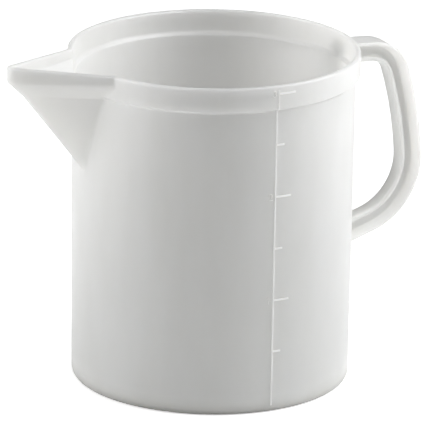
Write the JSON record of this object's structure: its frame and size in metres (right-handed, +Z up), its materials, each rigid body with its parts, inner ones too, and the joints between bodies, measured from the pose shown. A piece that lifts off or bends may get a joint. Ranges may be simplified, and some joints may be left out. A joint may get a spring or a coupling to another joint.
{
  "type": "measuring jug",
  "caption": "Round upright measuring jug with a pointed pouring spout, an open ribbed handle, a collar round the rim and a raised scale up one side.",
  "frame": {"origin": "centre of the base, on the plane that the jug stands on", "axes": "+Z up along the jug's axis; the handle points along +X and the spout along -X; the scale runs up the -Y side"},
  "size_m": [0.2467, 0.1593, 0.1869],
  "materials": {
    "polypropylene": "satin, milky and translucent, injection moulded in natural polypropylene"
  },
  "bodies": {
    "root": {"jug": "polypropylene"}
  },
  "joints": []
}
